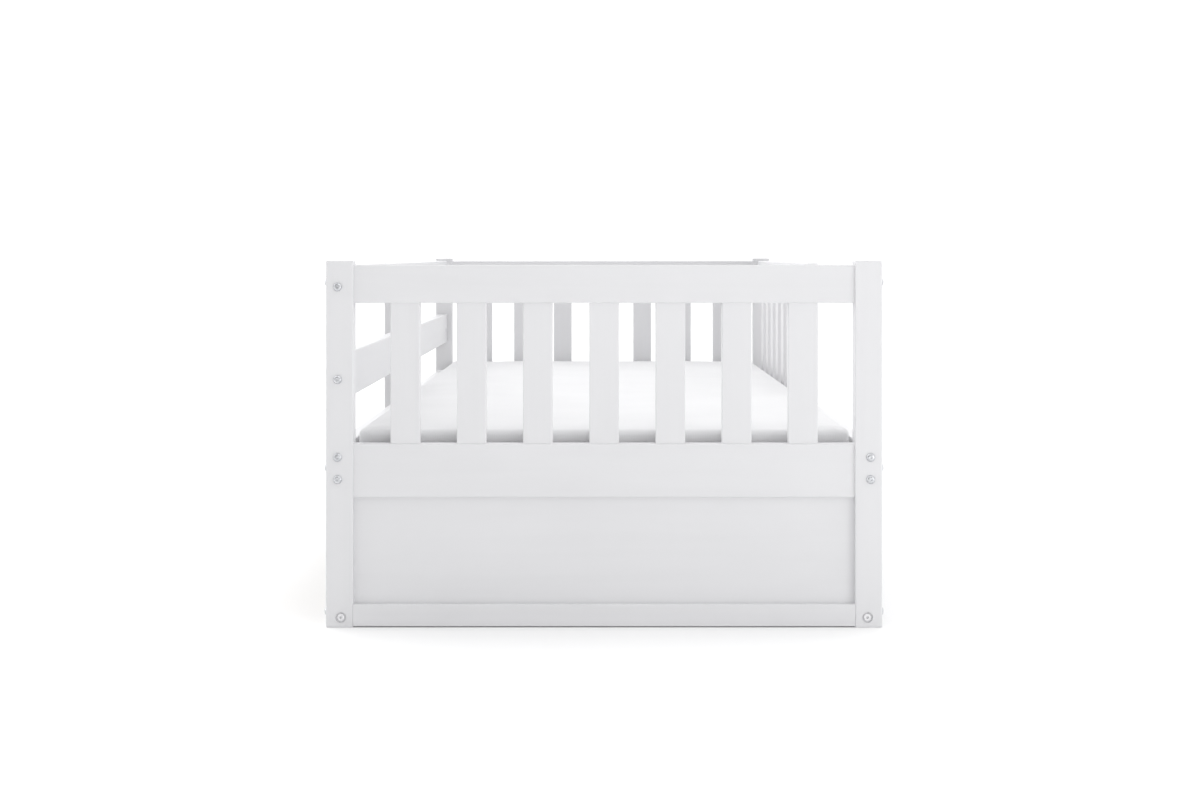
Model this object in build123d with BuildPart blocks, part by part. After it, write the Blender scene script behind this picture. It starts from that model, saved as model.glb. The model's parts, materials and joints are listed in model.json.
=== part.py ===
from build123d import *
import os

# Toddler bed for an 80 x 160 cm mattress, in painted solid wood: two slatted end frames,
# side rails, a slatted guard beside the head half, a slatted base, and two drawers below.
#
# Millimetres. +X is the open side, with the guard and the drawers. +Y runs from the foot
# end to the head end. +Z is up. The origin is on the floor, at the middle of the whole
# box. Sub-parts are drawn in the plane BED, whose origin is the middle of the four posts.

os.makedirs("parts", exist_ok=True)

FROM_BASE = (Align.CENTER, Align.CENTER, Align.MIN)
FROM_TOP = (Align.CENTER, Align.CENTER, Align.MAX)
FOOT, HEAD = -1, 1      # the two ends, along Y
BACK, FRONT = -1, 1     # the two long sides, along X
END_NAMES = {FOOT: "foot", HEAD: "head"}
SIDE_NAMES = {BACK: "back", FRONT: "front"}

# ---- Driving dimensions -----------------------------------------------------------------

MATTRESS_W, MATTRESS_L, MATTRESS_T = 800.0, 1600.0, 70.0
MATTRESS_PLAY_X, MATTRESS_PLAY_Y = 10.5, 3.5    # room on each side of the mattress
MATTRESS_CORNER_R, MATTRESS_EDGE_R = 28.0, 12.0
MATTRESS_REST_GAP = 0.3                         # above the base slats

POST_W, POST_D, POST_H = 43.0, 28.0, 580.0      # along X, along Y, height
SIDE_RAIL_T = 22.0
SIDE_RAIL_SETBACK = 7.5                         # from the posts' outer sides
END_RAIL_T = 20.0

TOP_RAIL_Z, TOP_RAIL_H = 513.0, 60.0            # underside and height of each rail
MIDDLE_BOARD_Z, MIDDLE_BOARD_H = 359.5, 73.0
LOWER_RAIL_Z, LOWER_RAIL_H = 205.0, 85.0
SIDE_LOWER_Z, SIDE_LOWER_H = 216.5, 70.0        # lower rails of the long sides
BOTTOM_RAIL_Z, BOTTOM_RAIL_H = 1.5, 35.0
BOTTOM_SIDE_RAIL_T = 32.0

SLAT_W, SLAT_T = 47.0, 16.0
SLAT_TENON_W, SLAT_TENON_T, SLAT_TENON_L = 37.0, 9.0, 14.0
END_SLAT_COUNT = 7
PANEL_T, PANEL_INSERT = 6.0, 6.0                # thickness, depth held in rails and posts
PANEL_SETBACK = 9.0                             # from the posts' outer faces

GUARD_START = -166.5                            # Y of the guard's free end
GUARD_SLAT_COUNT = 8
GUARD_CORNER_R = 12.0

UPRIGHT_T, UPRIGHT_W = 28.0, 43.0               # middle upright behind the back boards

LEDGER_W, LEDGER_H = 22.0, 14.0
LEDGER_END_GAP = 2.0
BASE_SLAT_W, BASE_SLAT_T, BASE_SLAT_L = 68.0, 12.0, 815.0
BASE_SLAT_COUNT = 14
BASE_SLAT_END_GAP = 5.0

DRAWER_GAP = 3.0                                # around each drawer front
DRAWER_FRONT_T = 22.0
DRAWER_BOARD_T = 12.0
DRAWER_BOTTOM_T, DRAWER_GROOVE = 4.0, 5.0
DRAWER_DEPTH = 700.0                            # behind the front
DRAWER_TRAVEL = 500.0
DRAWER_TOP_Z, DRAWER_BOTTOM_Z = 194.0, 48.0     # top of the box, underside of its bottom
DIVIDER_W, DIVIDER_TENON = 43.0, 10.0
HAND_SLOT_W, HAND_SLOT_H, HAND_SLOT_Z = 110.0, 30.0, 162.0

RUNNER_W, RUNNER_Z, RUNNER_TOP_Z = 34.0, 12.0, 38.5
GUIDE_W, GUIDE_H = 14.0, 17.5
GUIDE_CLEARANCE = 2.0
RUNNING_CLEARANCE = 0.5                         # drawer sides over runners, back to stops
TILT_BATTEN_W, TILT_BATTEN_H = 46.0, 20.0
TILT_BATTEN_END_GAP = 2.5
STOP_L, STOP_W, STOP_H = 25.0, 16.0, 20.0

EDGE_R = 1.8                                    # eased edges of posts, rails and slats
TOP_EDGE_R, FOOT_CHAMFER = 1.6, 1.0             # top and foot of the posts
SOFT_EDGE_R = 1.2
FIT = 0.1                                       # clearance of joints cut in wood

BOLT_R, BOLT_HOLE_R = 3.0, 3.3
BOLT_LENGTH_BEYOND, BOLT_HOLE_L = 38.0, 41.0    # reach past the post, into the rail
BOLT_HEAD_R, BOLT_HEAD_H = 7.0, 3.8
BOLT_SOCKET_R, BOLT_SOCKET_DEPTH = 2.3, 2.4     # hexagon's corner radius
SUNK_HEAD_R, SUNK_HEAD_H = 6.0, 2.6
SUNK_BORE_R, SUNK_DEPTH = 8.5, 2.8               # recess round the bottom bolts
NUT_R, NUT_L, NUT_INSET = 5.0, 13.0, 30.0
DOWEL_R, DOWEL_L = 4.0, 28.0
SCREW_R, SCREW_HEAD_R = 1.75, 4.0
CROSS_L, CROSS_W, CROSS_DEPTH = 4.0, 0.9, 1.5   # recess in a screw's head
NUT_SLOT_W, NUT_SLOT_DEPTH = 1.2, 1.2
HOLE_END_GAP = 0.5                              # beyond a dowel, at each end
PILOT_REACH = 1.0                               # of a pilot hole beyond its screw

# ---- Worked out from them ---------------------------------------------------------------

WIDTH = MATTRESS_W + 2 * (MATTRESS_PLAY_X + SIDE_RAIL_T + SIDE_RAIL_SETBACK)
LENGTH = MATTRESS_L + 2 * (MATTRESS_PLAY_Y + POST_D)
CLEAR_W = WIDTH - 2 * POST_W                    # between the posts, along X
CLEAR_L = LENGTH - 2 * POST_D                   # between the posts, along Y

SIDE_FACE_X = WIDTH / 2 - SIDE_RAIL_SETBACK     # outer face of the side rails
SIDE_RAIL_X = SIDE_FACE_X - SIDE_RAIL_T / 2     # their middle
INNER_X = SIDE_FACE_X - SIDE_RAIL_T             # their inner face
BOTTOM_SIDE_X = SIDE_FACE_X - BOTTOM_SIDE_RAIL_T / 2
POST_X = (WIDTH - POST_W) / 2
POST_Y = (LENGTH - POST_D) / 2                  # also the middle of the end rails
PANEL_Y = LENGTH / 2 - PANEL_SETBACK - PANEL_T / 2

BOTTOM_RAIL_TOP = BOTTOM_RAIL_Z + BOTTOM_RAIL_H
LOWER_RAIL_TOP = LOWER_RAIL_Z + LOWER_RAIL_H
TOP_RAIL_TOP = TOP_RAIL_Z + TOP_RAIL_H
SIDE_LOWER_TOP = SIDE_LOWER_Z + SIDE_LOWER_H
LEDGER_TOP = SIDE_LOWER_Z + LEDGER_H
BASE_TOP = LEDGER_TOP + BASE_SLAT_T

# The bolts of an end rail and of a side rail cross inside each post, one above the other.
TOP_END_BOLT_Z, TOP_SIDE_BOLT_Z = 546.0, 538.6
BOTTOM_END_BOLT_Z, BOTTOM_SIDE_BOLT_Z = 23.2, 15.8
LOWER_END_BOLT_Z, LOWER_SIDE_BOLTS_Z = 251.5, (234.0, 269.0)
MIDDLE_BOLT_Z = 392.0


def dowel_heights(low, height, inset):
    """Heights of a board's two dowels at one end, by their distance from its edges."""
    return (low + inset, low + height - inset)


TOP_DOWELS_Z = dowel_heights(TOP_RAIL_Z, TOP_RAIL_H, 10.0)
MIDDLE_DOWELS_Z = dowel_heights(MIDDLE_BOARD_Z, MIDDLE_BOARD_H, 12.0)
END_LOWER_DOWELS_Z = dowel_heights(LOWER_RAIL_Z, LOWER_RAIL_H, 18.0)
SIDE_LOWER_DOWELS_Z = dowel_heights(SIDE_LOWER_Z, SIDE_LOWER_H, 7.0)
BOTTOM_DOWELS_Z = (BOTTOM_RAIL_Z + 7.0,)

OUTER_REACH = {BACK: SIDE_FACE_X + UPRIGHT_T, FRONT: WIDTH / 2 + BOLT_HEAD_H}
CENTRE_X = (OUTER_REACH[BACK] - OUTER_REACH[FRONT]) / 2
BED = Plane(origin=(CENTRE_X, 0, 0))


def out_x(side):
    """Turn that points a local Z axis along X, away from the middle of the bed."""
    return (0, side * 90, 0)


def out_y(end):
    """Turn that points a local Z axis along Y, away from the middle of the bed."""
    return (-end * 90, 0, 0)


# ---- Fasteners, drawn once with their seat at the origin and their shank down -Z --------

def bolt_blank(head_profile_points, length):
    """Socket-head bolt whose head is turned from half of its outline."""
    with BuildPart() as bolt:
        Cylinder(BOLT_R, length, align=FROM_TOP)
        with BuildSketch(Plane.XZ):
            with BuildLine():
                rim, shoulder, crown = head_profile_points
                Polyline((0, crown[1]), (0, 0), (rim[0], 0), rim)
                ThreePointArc(rim, shoulder, crown)
                Line(crown, (0, crown[1]))
            make_face()
        revolve(axis=Axis.Z)
        with BuildSketch(Plane.XY.offset(crown[1])):
            RegularPolygon(BOLT_SOCKET_R, 6)
        extrude(amount=-BOLT_SOCKET_DEPTH, mode=Mode.SUBTRACT)
    return bolt.part


BUTTON_HEAD = (
    (BOLT_HEAD_R, 0.9),
    (BOLT_HEAD_R - 1.3, BOLT_HEAD_H - 1.1),
    (BOLT_HEAD_R - 3.6, BOLT_HEAD_H),
)
SUNK_HEAD = (
    (SUNK_HEAD_R, SUNK_HEAD_H - 1.4),
    (SUNK_HEAD_R - 0.7, SUNK_HEAD_H - 0.4),
    (SUNK_HEAD_R - 2.6, SUNK_HEAD_H),
)


def screw_blank(length):
    """Countersunk wood screw, its flat head flush with the origin plane."""
    head_depth = SCREW_HEAD_R - SCREW_R
    with BuildPart() as screw:
        Cylinder(SCREW_R - FIT / 2, length, align=FROM_TOP)
        with Locations((0, 0, -head_depth / 2)):
            Cone(SCREW_R - FIT / 2, SCREW_HEAD_R - FIT, head_depth)
        for turn in (0, 90):
            with Locations(Location((0, 0, 0), (0, 0, turn))):
                Box(CROSS_L, CROSS_W, 2 * CROSS_DEPTH, mode=Mode.SUBTRACT)
    return screw.part


def screw_hole(depth):
    """Pilot hole with a countersink, cut at the current locations."""
    CounterSinkHole(SCREW_R, SCREW_HEAD_R, depth, counter_sink_angle=90)


# ---- Posts ------------------------------------------------------------------------------

def side_bolt_heights(side, end):
    """Heights of the button-head bolts that hold the side rails to one post."""
    if side == BACK:
        return (TOP_SIDE_BOLT_Z, MIDDLE_BOLT_Z, *LOWER_SIDE_BOLTS_Z)
    if end == HEAD:
        return (TOP_SIDE_BOLT_Z, *LOWER_SIDE_BOLTS_Z)
    return LOWER_SIDE_BOLTS_Z


def side_dowel_heights(side, end):
    """Heights of the dowels between the side rails and one post."""
    if side == BACK:
        return (*TOP_DOWELS_Z, *MIDDLE_DOWELS_Z, *SIDE_LOWER_DOWELS_Z)
    if end == HEAD:
        return (*TOP_DOWELS_Z, *SIDE_LOWER_DOWELS_Z)
    return SIDE_LOWER_DOWELS_Z


END_BOLTS_Z = (TOP_END_BOLT_Z, LOWER_END_BOLT_Z, BOTTOM_END_BOLT_Z)
END_DOWELS_Z = (*TOP_DOWELS_Z, *END_LOWER_DOWELS_Z, *BOTTOM_DOWELS_Z)
DOWEL_HALF = DOWEL_L / 2 + HOLE_END_GAP         # depth of each dowel hole


def make_post(side, end):
    """Corner post with its bolt and dowel holes and the groove for the end panel."""
    x, y = side * POST_X, end * POST_Y
    rail_x = side * SIDE_RAIL_X
    inner_x = side * CLEAR_W / 2
    inner_y = end * CLEAR_L / 2
    with BuildPart(BED) as post:
        with Locations((x, y, 0)):
            Box(POST_W, POST_D, POST_H, align=FROM_BASE)
        fillet(post.edges().filter_by(Axis.Z), EDGE_R)
        fillet(post.faces().sort_by(Axis.Z)[-1].edges(), TOP_EDGE_R)
        chamfer(post.faces().sort_by(Axis.Z)[0].edges(), FOOT_CHAMFER)
        with Locations([Location((side * WIDTH / 2, y, z), out_x(side)) for z in END_BOLTS_Z]):
            Hole(BOLT_HOLE_R, POST_W)
        face_y = end * LENGTH / 2
        front_bolts = [(rail_x, face_y, z) for z in side_bolt_heights(side, end)]
        with Locations([Location(point, out_y(end)) for point in front_bolts]):
            Hole(BOLT_HOLE_R, POST_D)
        with Locations(Location((side * BOTTOM_SIDE_X, face_y, BOTTOM_SIDE_BOLT_Z), out_y(end))):
            CounterBoreHole(BOLT_HOLE_R, SUNK_BORE_R, SUNK_DEPTH, POST_D)
        with Locations([Location((inner_x, y, z), out_x(-side)) for z in END_DOWELS_Z]):
            Hole(DOWEL_R, DOWEL_HALF)
        heights = side_dowel_heights(side, end)
        with Locations([Location((rail_x, inner_y, z), out_y(-end)) for z in heights]):
            Hole(DOWEL_R, DOWEL_HALF)
        groove_low = BOTTOM_RAIL_TOP - PANEL_INSERT
        groove_high = LOWER_RAIL_Z + PANEL_INSERT
        with Locations((inner_x, end * PANEL_Y, groove_low - FIT)):
            Box(2 * (PANEL_INSERT + FIT), PANEL_T + 2 * FIT, groove_high - groove_low + 2 * FIT,
                align=FROM_BASE, mode=Mode.SUBTRACT)
    post.part.label = f"{END_NAMES[end]}_{SIDE_NAMES[side]}_post"
    export_step(post.part, f"parts/{post.part.label}.step")


for end in (FOOT, HEAD):
    for side in (BACK, FRONT):
        make_post(side, end)


# ---- End frames: rails, slats and panel -------------------------------------------------

END_SLAT_GAP = (CLEAR_W - END_SLAT_COUNT * SLAT_W) / (END_SLAT_COUNT + 1)
END_SLAT_PITCH = SLAT_W + END_SLAT_GAP
END_SLAT_XS = [(i - (END_SLAT_COUNT - 1) / 2) * END_SLAT_PITCH for i in range(END_SLAT_COUNT)]


def make_end_rail(end, name, low, height, thickness, bolt_z, dowels_z, nut_depth):
    """Cross rail of an end frame, with bolt, nut and dowel holes at both ends."""
    y = end * POST_Y
    inner_y = end * (POST_Y - thickness / 2)
    with BuildPart(BED) as rail:
        with Locations((0, y, low)):
            Box(CLEAR_W, thickness, height, align=FROM_BASE)
        fillet(rail.edges().filter_by(Axis.X), EDGE_R)
        for side in (BACK, FRONT):
            end_x = side * CLEAR_W / 2
            with Locations(Location((end_x, y, bolt_z), out_x(side))):
                Hole(BOLT_HOLE_R, BOLT_HOLE_L)
            with Locations([Location((end_x, y, z), out_x(side)) for z in dowels_z]):
                Hole(DOWEL_R, DOWEL_HALF)
            nut_place = (end_x - side * NUT_INSET, inner_y, bolt_z)
            with Locations(Location(nut_place, out_y(-end))):
                Hole(NUT_R + FIT, nut_depth)
        if name == "top_rail":
            with Locations([(x, y, low - FIT) for x in END_SLAT_XS]):
                Box(SLAT_TENON_W + 2 * FIT, SLAT_TENON_T + 2 * FIT, SLAT_TENON_L + 2 * FIT,
                    align=FROM_BASE, mode=Mode.SUBTRACT)
        if name == "lower_rail":
            with Locations([(x, y, low + height + FIT) for x in END_SLAT_XS]):
                Box(SLAT_TENON_W + 2 * FIT, SLAT_TENON_T + 2 * FIT, SLAT_TENON_L + 2 * FIT,
                    align=FROM_TOP, mode=Mode.SUBTRACT)
        panel_edges = {"lower_rail": low, "bottom_rail": low + height}
        if name in panel_edges:
            with Locations((0, end * PANEL_Y, panel_edges[name])):
                Box(CLEAR_W, PANEL_T + 2 * FIT, 2 * (PANEL_INSERT + FIT), mode=Mode.SUBTRACT)
    rail.part.label = f"{END_NAMES[end]}_{name}"
    export_step(rail.part, f"parts/{rail.part.label}.step")


def make_end_slat(end, index, x):
    """Flat slat with eased edges and a stub tenon at each end."""
    height = TOP_RAIL_Z - LOWER_RAIL_TOP
    with BuildPart(BED) as slat:
        with Locations((x, end * POST_Y, LOWER_RAIL_TOP)):
            Box(SLAT_W, SLAT_T, height, align=FROM_BASE)
        fillet(slat.edges().filter_by(Axis.Z), EDGE_R)
        with Locations((x, end * POST_Y, LOWER_RAIL_TOP - SLAT_TENON_L)):
            Box(SLAT_TENON_W, SLAT_TENON_T, height + 2 * SLAT_TENON_L, align=FROM_BASE)
    slat.part.label = f"{END_NAMES[end]}_slat_{index}"
    export_step(slat.part, f"parts/{slat.part.label}.step")


def make_end_panel(end):
    """Thin panel between the bottom rail and the lower rail."""
    low = BOTTOM_RAIL_TOP - PANEL_INSERT
    height = LOWER_RAIL_Z - BOTTOM_RAIL_TOP + 2 * PANEL_INSERT
    with BuildPart(BED) as panel:
        with Locations((0, end * PANEL_Y, low)):
            Box(CLEAR_W + 2 * PANEL_INSERT, PANEL_T, height, align=FROM_BASE)
    panel.part.label = f"{END_NAMES[end]}_panel"
    export_step(panel.part, f"parts/{panel.part.label}.step")


for end in (FOOT, HEAD):
    nut_depth = END_RAIL_T / 2 + NUT_L / 2
    make_end_rail(end, "top_rail", TOP_RAIL_Z, TOP_RAIL_H, END_RAIL_T,
                  TOP_END_BOLT_Z, TOP_DOWELS_Z, nut_depth)
    make_end_rail(end, "lower_rail", LOWER_RAIL_Z, LOWER_RAIL_H, END_RAIL_T,
                  LOWER_END_BOLT_Z, END_LOWER_DOWELS_Z, nut_depth)
    make_end_rail(end, "bottom_rail", BOTTOM_RAIL_Z, BOTTOM_RAIL_H, POST_D,
                  BOTTOM_END_BOLT_Z, BOTTOM_DOWELS_Z, POST_D / 2 + NUT_L / 2)
    for index, x in enumerate(END_SLAT_XS, start=1):
        make_end_slat(end, index, x)
    make_end_panel(end)


# ---- Slatted base and mattress ----------------------------------------------------------

BASE_SLAT_SPAN = CLEAR_L - BASE_SLAT_W - 2 * BASE_SLAT_END_GAP
BASE_SLAT_YS = [BASE_SLAT_SPAN * (i / (BASE_SLAT_COUNT - 1) - 0.5) for i in range(BASE_SLAT_COUNT)]
LEDGER_X = INNER_X - LEDGER_W / 2
LEDGER_SCREW_COUNT, LEDGER_SCREW_PITCH = 8, 200.0
LEDGER_SCREW_YS = [LEDGER_SCREW_PITCH * (i - (LEDGER_SCREW_COUNT - 1) / 2)
                   for i in range(LEDGER_SCREW_COUNT)]
LEDGER_SCREW_L = LEDGER_W + 14.0
LEDGER_SCREW_Z = SIDE_LOWER_Z + LEDGER_H / 2
SLAT_SCREW_L = BASE_SLAT_T + 11.0

# ---- Drawer bays along Y ----------------------------------------------------------------

BAY_OUTER = CLEAR_L / 2                         # at the post
BAY_INNER = DIVIDER_W / 2                       # at the divider
BAY_MIDDLE = (BAY_OUTER + BAY_INNER) / 2
BAY_W = BAY_OUTER - BAY_INNER
DRAWER_BOX_W = BAY_W - 2 * (GUIDE_W + GUIDE_CLEARANCE)
DRAWER_SIDE_LOW = RUNNER_TOP_Z + RUNNING_CLEARANCE
DRAWER_SIDE_Y = DRAWER_BOX_W / 2 - DRAWER_BOARD_T / 2
DRAWER_BACK_X = INNER_X - DRAWER_DEPTH + DRAWER_BOARD_T / 2
STOP_X = DRAWER_BACK_X + DRAWER_BOARD_T / 2 + DRAWER_TRAVEL + RUNNING_CLEARANCE + STOP_L / 2
TILT_BATTEN_Z = SIDE_LOWER_Z - TILT_BATTEN_H
TILT_BATTEN_L = 2 * (INNER_X - TILT_BATTEN_END_GAP)
TILT_SCREW_L = TILT_BATTEN_H + 10.0
RUNNER_L = 2 * (SIDE_FACE_X - BOTTOM_SIDE_RAIL_T)
RUNNER_DOWEL_Z = (RUNNER_Z + RUNNER_TOP_Z) / 2 - 1


def bay_edges():
    """Y of each drawer bay's two edges, and the way from the edge into the bay."""
    for end in (FOOT, HEAD):
        yield end * BAY_OUTER, -end
        yield end * BAY_INNER, end


# ---- Side rails -------------------------------------------------------------------------

GUARD_END = CLEAR_L / 2
GUARD_FIRST_Y = GUARD_START + SLAT_W / 2
GUARD_SLAT_RUN = GUARD_END - GUARD_START - SLAT_W
GUARD_SLAT_GAP = (GUARD_SLAT_RUN - GUARD_SLAT_COUNT * SLAT_W) / (GUARD_SLAT_COUNT + 1)
GUARD_SLAT_YS = [GUARD_FIRST_Y + i * (SLAT_W + GUARD_SLAT_GAP)
                 for i in range(1, GUARD_SLAT_COUNT + 1)]
UPRIGHT_SCREW_L = UPRIGHT_T + 14.0
# Each back board: its underside, its height, and how far its two upright screws stand from
# its middle.
BACK_BOARDS = {
    "top_rail": (TOP_RAIL_Z, TOP_RAIL_H, 12.0),
    "middle_board": (MIDDLE_BOARD_Z, MIDDLE_BOARD_H, 12.0),
    "lower_rail": (SIDE_LOWER_Z, SIDE_LOWER_H, 20.0),
    "bottom_rail": (BOTTOM_RAIL_Z, BOTTOM_RAIL_H, 8.0),
}


def upright_screw_heights(name):
    """Heights of the two screws between one back board and the middle upright."""
    low, height, spread = BACK_BOARDS[name]
    return (low + height / 2 - spread, low + height / 2 + spread)


def drill_side_rail(side, ends, bolts_z, dowels_z, x, inner_x):
    """Bolt, nut and dowel holes at the ends of a side rail."""
    nut_depth = abs(x - inner_x) + NUT_L / 2
    for end in ends:
        end_y = end * CLEAR_L / 2
        with Locations([Location((side * x, end_y, z), out_y(end)) for z in bolts_z]):
            Hole(BOLT_HOLE_R, BOLT_HOLE_L)
        nut_y = end_y - end * NUT_INSET
        with Locations([Location((side * inner_x, nut_y, z), out_x(-side)) for z in bolts_z]):
            Hole(NUT_R + FIT, nut_depth)
        if dowels_z:
            with Locations([Location((side * x, end_y, z), out_y(end)) for z in dowels_z]):
                Hole(DOWEL_R, DOWEL_HALF)


def pilot_upright_screws(name):
    """Pilot holes from a back board's outer face, for the screws of the middle upright."""
    places = [(-SIDE_FACE_X, 0, z) for z in upright_screw_heights(name)]
    with Locations([Location(p, out_x(BACK)) for p in places]):
        Hole(SCREW_R, UPRIGHT_SCREW_L - UPRIGHT_T + PILOT_REACH)


def make_back_board(name, bolts_z, dowels_z):
    """Full-length board of the closed side."""
    low, height, _ = BACK_BOARDS[name]
    with BuildPart(BED) as board:
        with Locations((-SIDE_RAIL_X, 0, low)):
            Box(SIDE_RAIL_T, CLEAR_L, height, align=FROM_BASE)
        fillet(board.edges().filter_by(Axis.Y), EDGE_R)
        drill_side_rail(BACK, (FOOT, HEAD), bolts_z, dowels_z, SIDE_RAIL_X, INNER_X)
        pilot_upright_screws(name)
        if name == "lower_rail":
            pilot_ledger_screws(BACK)
    board.part.label = f"back_{name}"
    export_step(board.part, f"parts/{board.part.label}.step")


def pilot_ledger_screws(side):
    """Pilot holes in a lower side rail's inner face."""
    points = [(side * INNER_X, y, LEDGER_SCREW_Z) for y in LEDGER_SCREW_YS]
    with Locations([Location(p, out_x(-side)) for p in points]):
        Hole(SCREW_R, LEDGER_SCREW_L - LEDGER_W + PILOT_REACH)


def make_bottom_side_rail(side):
    """Square rail just above the floor, between the posts."""
    runner_ys = [y + into * RUNNER_W / 2 for y, into in bay_edges()]
    with BuildPart(BED) as rail:
        with Locations((side * BOTTOM_SIDE_X, 0, BOTTOM_RAIL_Z)):
            Box(BOTTOM_SIDE_RAIL_T, CLEAR_L, BOTTOM_RAIL_H, align=FROM_BASE)
        fillet(rail.edges().filter_by(Axis.Y), EDGE_R)
        drill_side_rail(side, (FOOT, HEAD), (BOTTOM_SIDE_BOLT_Z,), (), BOTTOM_SIDE_X,
                        SIDE_FACE_X - BOTTOM_SIDE_RAIL_T)
        inner_x = side * (SIDE_FACE_X - BOTTOM_SIDE_RAIL_T)
        points = [(inner_x, y, RUNNER_DOWEL_Z) for y in runner_ys]
        with Locations([Location(p, out_x(-side)) for p in points]):
            Hole(DOWEL_R, DOWEL_HALF)
        if side == BACK:
            pilot_upright_screws("bottom_rail")
        else:
            with Locations((SIDE_RAIL_X, 0, BOTTOM_RAIL_TOP + FIT)):
                Box(SLAT_TENON_T + 2 * FIT, SLAT_TENON_W + 2 * FIT, DIVIDER_TENON + 2 * FIT,
                    align=FROM_TOP, mode=Mode.SUBTRACT)
    rail.part.label = f"{SIDE_NAMES[side]}_bottom_rail"
    export_step(rail.part, f"parts/{rail.part.label}.step")


make_back_board("top_rail", (TOP_SIDE_BOLT_Z,), TOP_DOWELS_Z)
make_back_board("middle_board", (MIDDLE_BOLT_Z,), MIDDLE_DOWELS_Z)
make_back_board("lower_rail", LOWER_SIDE_BOLTS_Z, SIDE_LOWER_DOWELS_Z)
for side in (BACK, FRONT):
    make_bottom_side_rail(side)

UPRIGHT_SCREWS_Z = [z for name in BACK_BOARDS for z in upright_screw_heights(name)]

# Middle upright: stands on the floor and ties the four back boards together.
with BuildPart(BED) as back_upright:
    with Locations((-(SIDE_FACE_X + UPRIGHT_T / 2), 0, 0)):
        Box(UPRIGHT_T, UPRIGHT_W, TOP_RAIL_TOP, align=FROM_BASE)
    fillet(back_upright.edges().filter_by(Axis.Z), EDGE_R)
    fillet(back_upright.faces().sort_by(Axis.Z)[-1].edges(), TOP_EDGE_R)
    head_x = -(SIDE_FACE_X + UPRIGHT_T)
    with Locations([Location((head_x, 0, z), out_x(BACK)) for z in UPRIGHT_SCREWS_Z]):
        screw_hole(UPRIGHT_T)
back_upright.part.label = "back_upright"
export_step(back_upright.part, "parts/back_upright.step")

# Lower rail of the open side: carries the guard's slats and stands over the drawers.
with BuildPart(BED) as front_lower_rail:
    with Locations((SIDE_RAIL_X, 0, SIDE_LOWER_Z)):
        Box(SIDE_RAIL_T, CLEAR_L, SIDE_LOWER_H, align=FROM_BASE)
    fillet(front_lower_rail.edges().filter_by(Axis.Y), EDGE_R)
    drill_side_rail(FRONT, (FOOT, HEAD), LOWER_SIDE_BOLTS_Z, SIDE_LOWER_DOWELS_Z,
                    SIDE_RAIL_X, INNER_X)
    pilot_ledger_screws(FRONT)
    with Locations([(SIDE_RAIL_X, y, SIDE_LOWER_TOP + FIT) for y in (GUARD_FIRST_Y, *GUARD_SLAT_YS)]):
        Box(SLAT_TENON_T + 2 * FIT, SLAT_TENON_W + 2 * FIT, SLAT_TENON_L + 2 * FIT,
            align=FROM_TOP, mode=Mode.SUBTRACT)
    with Locations((SIDE_RAIL_X, 0, SIDE_LOWER_Z - FIT)):
        Box(SLAT_TENON_T + 2 * FIT, SLAT_TENON_W + 2 * FIT, DIVIDER_TENON + 2 * FIT,
            align=FROM_BASE, mode=Mode.SUBTRACT)
front_lower_rail.part.label = "front_lower_rail"
export_step(front_lower_rail.part, "parts/front_lower_rail.step")

# ---- Guard beside the head half ---------------------------------------------------------

with BuildPart(BED) as guard_rail:
    with Locations((SIDE_RAIL_X, (GUARD_START + GUARD_END) / 2, TOP_RAIL_Z)):
        Box(SIDE_RAIL_T, GUARD_END - GUARD_START, TOP_RAIL_H, align=FROM_BASE)
    free_corner = guard_rail.edges().filter_by(Axis.X).group_by(Axis.Y)[0].sort_by(Axis.Z)[-1]
    fillet(free_corner, GUARD_CORNER_R)
    soft_edges = guard_rail.faces().filter_by(Axis.X).edges()
    fillet(soft_edges.filter_by(lambda edge: edge.center().Y < GUARD_END - 1), EDGE_R)
    drill_side_rail(FRONT, (HEAD,), (TOP_SIDE_BOLT_Z,), TOP_DOWELS_Z, SIDE_RAIL_X, INNER_X)
    with Locations([(SIDE_RAIL_X, y, TOP_RAIL_Z - FIT) for y in (GUARD_FIRST_Y, *GUARD_SLAT_YS)]):
        Box(SLAT_TENON_T + 2 * FIT, SLAT_TENON_W + 2 * FIT, SLAT_TENON_L + 2 * FIT,
            align=FROM_BASE, mode=Mode.SUBTRACT)
guard_rail.part.label = "guard_rail"
export_step(guard_rail.part, "parts/guard_rail.step")

GUARD_SLAT_H = TOP_RAIL_Z - SIDE_LOWER_TOP

with BuildPart(BED) as guard_stile:
    with Locations((SIDE_RAIL_X, GUARD_FIRST_Y, SIDE_LOWER_TOP)):
        Box(SIDE_RAIL_T, SLAT_W, GUARD_SLAT_H, align=FROM_BASE)
    fillet(guard_stile.edges().filter_by(Axis.Z), EDGE_R)
    with Locations((SIDE_RAIL_X, GUARD_FIRST_Y, SIDE_LOWER_TOP - SLAT_TENON_L)):
        Box(SLAT_TENON_T, SLAT_TENON_W, GUARD_SLAT_H + 2 * SLAT_TENON_L, align=FROM_BASE)
guard_stile.part.label = "guard_stile"
export_step(guard_stile.part, "parts/guard_stile.step")

with BuildPart(BED) as guard_slats:
    with Locations([(SIDE_RAIL_X, y, SIDE_LOWER_TOP) for y in GUARD_SLAT_YS]):
        Box(SLAT_T, SLAT_W, GUARD_SLAT_H, align=FROM_BASE)
    fillet(guard_slats.edges().filter_by(Axis.Z), EDGE_R)
    with Locations([(SIDE_RAIL_X, y, SIDE_LOWER_TOP - SLAT_TENON_L) for y in GUARD_SLAT_YS]):
        Box(SLAT_TENON_T, SLAT_TENON_W, GUARD_SLAT_H + 2 * SLAT_TENON_L, align=FROM_BASE)
guard_slats.part.label = "guard_slats"
export_step(guard_slats.part, "parts/guard_slats.step")

# ---- Divider between the drawer fronts --------------------------------------------------

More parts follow.
